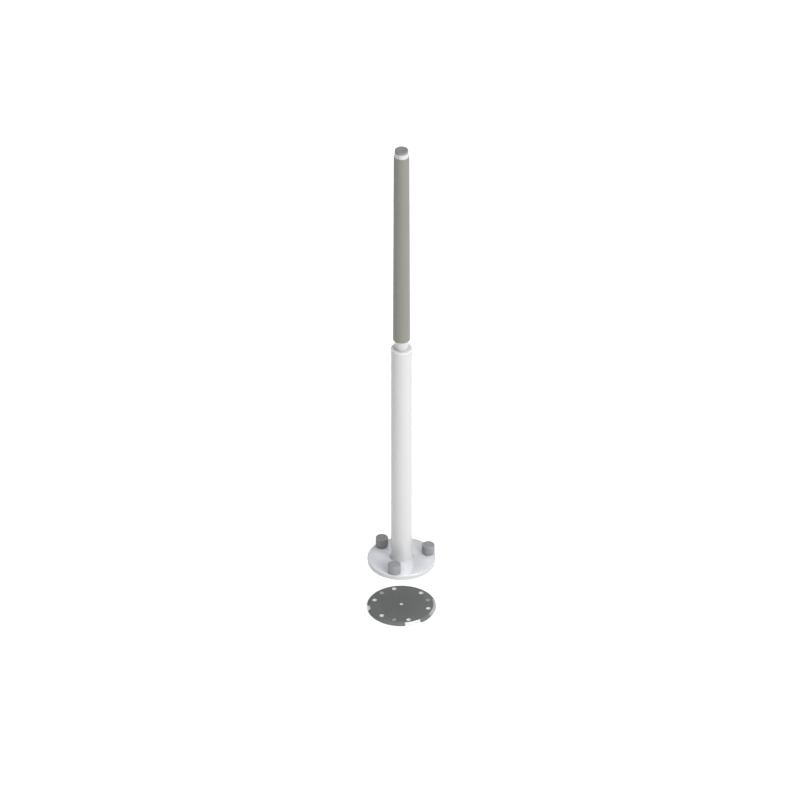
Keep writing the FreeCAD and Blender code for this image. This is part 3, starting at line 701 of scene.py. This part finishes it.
def make_collar(material):
    """Conical collar with its vent slots and the groove for the cap's seal."""
    bottom, top = low("top_collar"), high("top_collar")
    seat = high("radome")
    seal_low, seal_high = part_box("cap_seal")
    groove_outer = (seal_high.y - seal_low.y) / 2
    groove_inner = groove_outer - (seal_high.z - seal_low.z)
    profile = rounded([
        (COLLAR_BORE, bottom, 0),
        (COLLAR_SPIGOT, bottom, 0.4 * MM),
        (COLLAR_SPIGOT, seat, 0),
        (radius("top_collar"), seat, 0.3 * MM),
        (radius("top_cap"), top, 0.3 * MM),
        (groove_outer, top, 0),
        (groove_outer, seal_low.z, 0),
        (groove_inner, seal_low.z, 0),
        (groove_inner, top, 0),
        (COLLAR_BORE, top, 0),
    ])
    collar = make_object("top_collar_turned", turned_mesh(profile))
    half, inner, outer = 0.8 * MM, 15.2 * MM, 19 * MM
    slot = [(inner, -half), (outer, -half), (outer, half), (inner, half)]
    first = math.radians(5)
    slots = []
    for index in range(len(SCREWS)):
        turn = Matrix.Rotation(first + TURN * index / len(SCREWS), 2)
        slots.append([tuple(turn @ Vector(point)) for point in slot])
    drill(collar, slots, bottom - MM, top + MM)
    settle(collar, "antenna", material, "collar_plastic", "top_collar")


def make_cap(material):
    """Top cap with a rounded edge, a shallow dish and a centre mark."""
    bottom, top, outer = low("top_cap"), high("top_cap"), radius("top_cap")
    seat = high("top_collar")
    plug = 9.95 * MM
    profile = rounded([
        (0, bottom, 0),
        (plug, bottom, 0.5 * MM),
        (plug, seat, 0),
        (outer, seat, 0.3 * MM),
        (outer, top, 1.2 * MM),
        (11.5 * MM, top, 0.3 * MM),
        (10.5 * MM, top - 0.5 * MM, 0.3 * MM),
        (2.0 * MM, top - 0.5 * MM, 0.2 * MM),
        (1.0 * MM, top - 1.1 * MM, 0),
        (0, top - 1.1 * MM, 0),
    ], steps=5)
    cap = make_object("top_cap_moulded", turned_mesh(profile))
    settle(cap, "antenna", material, "cap_plastic", "top_cap")


# ---------------------------------------------------------------- pieces: thumbscrews

def make_knob(number, material):
    """Moulded knob: fine grip flutes, a plain foot and rim, and an inlaid disc on top."""
    node = "thumb_knob_" + number
    bottom, top, outer = low(node), high(node), radius(node)
    middle = centre(node)
    flutes = 36
    band = (bottom + 3.2 * MM, top - 3.4 * MM)
    head_foot, head_top = bottom + 8 * MM, bottom + 8 * MM + STUD_HEAD_HEIGHT
    profile = rounded([
        (4.05 * MM, bottom, 0),
        (outer - 0.5 * MM, bottom, 0.5 * MM),
        (outer - 0.5 * MM, bottom + 2.4 * MM, 0.3 * MM),
        (outer, band[0], 0.2 * MM),
        (outer, top, 1.6 * MM),
        (10.6 * MM, top, 0.25 * MM),
        (10.3 * MM, top - 0.5 * MM, 0.15 * MM),
        (9.9 * MM, top - 0.5 * MM, 0.15 * MM),
        (9.6 * MM, top - 0.15 * MM, 0.2 * MM),
        (0, top - 0.1 * MM, 0),
        (0, head_top, 0),
        (6.55 * MM, head_top, 0),
        (6.55 * MM, head_foot, 0),
        (4.05 * MM, head_foot, 0),
    ], steps=4)
    profile = divided(profile, (band[0] - 0.1 * MM, band[1] + 2 * MM), 0.9 * MM)

    def fluted(r, z, angle):
        if r < outer - 0.25 * MM or not band[0] < z < band[1]:
            return r
        ends = min(1.0, (z - band[0]) / MM, (band[1] - z) / MM)
        wave = 0.5 + 0.5 * math.cos(flutes * angle)
        return r - 0.4 * MM * ends * wave ** 3

    knob = make_object("knob_" + number,
                       turned_mesh(profile, middle.xy, flutes * 8, fluted))
    settle(knob, "screw_%s_knob" % number, material, "knob_plastic", node)


def thread(major, depth, pitch, span):
    """Shape function of a V thread between two heights, with its ends run out."""
    def threaded(r, z, angle):
        if abs(r - major) > 1e-6 or not span[0] <= z <= span[1]:
            return r
        ends = min(1.0, (z - span[0]) / pitch, (span[1] - z) / pitch)
        phase = (z / pitch - angle / TURN) % 1.0
        valley = max(0.0, 1.0 - abs(2 * phase - 1) * 1.15)
        return r - depth * max(0.0, ends) * valley
    return threaded


def make_stud(number, material):
    """Threaded stud with its chamfered tip and the head that the knob is moulded round."""
    node = "thumb_stud_" + number
    bottom, top = low(node), high(node)
    head_foot = top - STUD_HEAD_HEIGHT
    span = (bottom + 0.8 * MM, low("thumb_knob_" + number))
    profile = [
        (0, bottom), (STUD_RADIUS - 0.8 * MM, bottom), (STUD_RADIUS, span[0]),
        (STUD_RADIUS, span[1]), (STUD_RADIUS, head_foot), (STUD_HEAD_RADIUS, head_foot),
        (STUD_HEAD_RADIUS, top), (0, top),
    ]
    profile = divided(profile, span, STUD_PITCH / 10)
    threaded = thread(STUD_RADIUS, 0.65 * MM, STUD_PITCH, span)
    stud = make_object("stud_" + number, turned_mesh(profile, centre(node).xy, 60, threaded))
    settle(stud, "screw_%s_knob" % number, material, "stainless", node)


# ---------------------------------------------------------------- pieces: coaxial socket

def make_jack(material):
    """Shell of the socket, threaded outside its barrel."""
    bottom, top = low("jack_body"), high("jack_body")
    seat = low("connector_plate")
    seal_low, seal_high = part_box("jack_seal")
    groove_outer = (seal_high.y - seal_low.y) / 2
    groove_inner = groove_outer - (seal_high.z - seal_low.z)
    shank, flange, barrel, bore = 6.25 * MM, 10.3 * MM, 7.95 * MM, 4.05 * MM
    cavity, cavity_top = 5.6 * MM, bottom + 14 * MM
    profile = [
        (bore, top), (shank, top), (shank, seat + 0.01 * MM), (groove_inner + 0.2 * MM, seat),
        (groove_inner, seal_low.z), (groove_outer, seal_low.z), (groove_outer, seat),
        (flange, seat), (flange, seat - 2 * MM), (barrel, seat - 2 * MM), (barrel, bottom),
        (cavity, bottom), (cavity, cavity_top), (bore, cavity_top),
    ]
    pitch = 1.06 * MM
    span = (bottom + 0.6 * MM, seat - 6 * MM)
    profile.insert(10, (barrel, span[1]))
    profile.insert(11, (barrel, span[0]))
    profile = divided(profile, span, pitch / 8)
    jack = make_object("jack_shell",
                       turned_mesh(profile, AXIS, 96, thread(barrel, 0.5 * MM, pitch, span)))
    settle(jack, "antenna", material, "nickel", "jack_body")


# ---------------------------------------------------------------- carried-over CAD nodes

def dress(material, *nodes):
    """Gives carried-over CAD nodes their material."""
    for node in nodes:
        frame["nodes"][node].material_slots[0].material = material


def dress_inner_pieces():
    """Materials of the small and inner pieces whose CAD shapes are kept."""
    dress(pale_foam(), "disc_pad")
    dress(metal("zinc_steel", (0.66, 0.67, 0.68), (0.5, 0.65), (1, 1, 4)),
          "thread_inserts", "plate_screws")
    dress(plain_finish("washer_nylon", (0.78, 0.77, 0.73), (0.4, 0.5)),
          *["thumb_washer_" + number for number in SCREWS])
    dress(plain_finish("black_rubber", (0.02, 0.02, 0.021), (0.6, 0.75)),
          "neck_seal", "cap_seal", "jack_seal")
    dress(metal("copper_line", (0.72, 0.42, 0.29), (0.25, 0.4), (1, 1, 0.05)), "feed_line")
    dress(metal("brass", (0.76, 0.6, 0.33), (0.25, 0.38), (1, 1, 0.05)),
          "dipole_sleeves", "jack_contact")
    dress(plain_finish("ptfe", (0.86, 0.86, 0.85), (0.35, 0.45)), "gap_insulators",
          "jack_insulator")
    foam = Shader("spacer_foam")
    cells = foam.cells(600)
    foam.feed("Base Color", foam.mix(cells, tint((0.84, 0.83, 0.78), 1.0),
                                     tint((0.66, 0.65, 0.6), 1.0)))
    foam.set(Roughness=0.95)
    foam.bump((cells, 0.0003))
    dress(foam.material, "foam_spacers", "cable_spacers")
    dress(metal("bare_aluminium", (0.78, 0.79, 0.8), (0.28, 0.42), (1, 1, 5)),
          "matching_can", "matching_lid", "support_ring", "connector_plate")
    dress(circuit_board(), "matching_board")
    dress(plain_finish("cable_jacket", (0.025, 0.025, 0.027), (0.5, 0.62)), "feed_cable")
    dress(plain_finish("ferrite", (0.08, 0.08, 0.085), (0.45, 0.6), 1800, 0.00006),
          "choke_beads")


# ---------------------------------------------------------------- stage, light and camera

def make_floor():
    """Plain pale floor, lit a little from within like a light table."""
    size = 30.0
    mesh = bmesh.new()
    corners = ((-1, -1), (1, -1), (1, 1), (-1, 1))
    mesh.faces.new([mesh.verts.new((x * size, y * size, 0)) for x, y in corners])
    floor = make_object("floor", mesh)
    shader = Shader("floor_acrylic")
    shader.set(Base_Color=(0.86, 0.86, 0.86, 1), Roughness=0.9, Emission_Color=(1, 1, 1, 1),
               Emission_Strength=0.36)
    floor.data.materials.append(shader.material)


def make_world():
    """Soft surround, bright overhead and dark at the sides, where only the key light stands."""
    world = bpy.data.worlds.new("surround")
    bpy.context.scene.world = world
    world.use_nodes = True
    tree = world.node_tree
    direction = tree.nodes.new("ShaderNodeTexCoord").outputs["Generated"]
    facing = tree.nodes.new("ShaderNodeVectorMath")
    facing.operation = "DOT_PRODUCT"
    tree.links.new(direction, facing.inputs[0])
    facing.inputs[1].default_value = Vector((0.15, -0.08, 0.98)).normalized()
    spread = tree.nodes.new("ShaderNodeMapRange")
    spread.interpolation_type = "SMOOTHSTEP"
    for name, number in (("From Min", 0.4), ("From Max", 1.0), ("To Min", 0.0),
                         ("To Max", 1.75)):
        spread.inputs[name].default_value = number
    tree.links.new(facing.outputs["Value"], spread.inputs["Value"])
    tree.links.new(spread.outputs[0], tree.nodes["Background"].inputs["Strength"])
    tree.nodes["Background"].inputs["Color"].default_value = (1, 1, 1, 1)


def make_light(name, place, size, power, target=(0, 0, 0.6)):
    """Soft rectangular light that looks at a point on the antenna."""
    data = bpy.data.lights.new(name, "AREA")
    data.shape = "RECTANGLE"
    data.size, data.size_y = size
    data.energy = power
    light = bpy.data.objects.new(name, data)
    bpy.context.scene.collection.objects.link(light)
    light.location = place
    aim = Vector(target) - Vector(place)
    light.rotation_euler = aim.to_track_quat("-Z", "Y").to_euler()


def make_camera():
    """Very long lens, so that parallel edges stay parallel, from 34.8 degrees above."""
    elevation = math.radians(34.8)
    target = Vector((-3.6 * MM, 0, 599 * MM))
    view_width = 1.8936
    data = bpy.data.cameras.new("camera")
    data.lens = 1500
    data.sensor_width = 36
    distance = view_width * data.lens / data.sensor_width
    back = Vector((0, -math.cos(elevation), math.sin(elevation)))
    data.clip_start, data.clip_end = 0.05, distance * 2
    camera = bpy.data.objects.new("camera", data)
    bpy.context.scene.collection.objects.link(camera)
    camera.location = target + back * distance
    camera.rotation_euler = (-back).to_track_quat("-Z", "Y").to_euler()
    bpy.context.scene.camera = camera


def set_colour_management():
    """Plain transform, so that white stays white."""
    view = bpy.context.scene.view_settings
    view.view_transform = "Standard"
    view.look = "None"


# ---------------------------------------------------------------- the scene

make_camera()
set_colour_management()
make_floor()
make_world()
make_light("key", (2.7, -3.0, 2.4), (1.6, 2.4), 105)

make_disc(disc_paint())
make_flange(flange_lacquer())
tube_white = white_paint("tube_paint", 0.585)
make_weld(tube_white)
make_tube(tube_white)
# The bush gets a lighter copy of the tube's white paint (0.72 against 0.585): painted light on its
# top ring, which sits in shade.
make_bush(white_paint("bush_paint_lit_copy", 0.72))
make_neck(tube_white)
make_radome(radome_shell())
make_collar(collar_plastic())
make_cap(cap_plastic())

grey_plastic = knob_plastic()
steel = metal("stainless", (0.62, 0.62, 0.63), (0.29, 0.36), (1, 1, 3))
for screw in SCREWS:
    make_knob(screw, grey_plastic)
    make_stud(screw, steel)

nickel = metal("nickel", (0.72, 0.69, 0.64), (0.15, 0.25), (1, 1, 3))
make_jack(nickel)
dress(nickel, "jack_nut", "crimp_sleeve")
dress_inner_pieces()
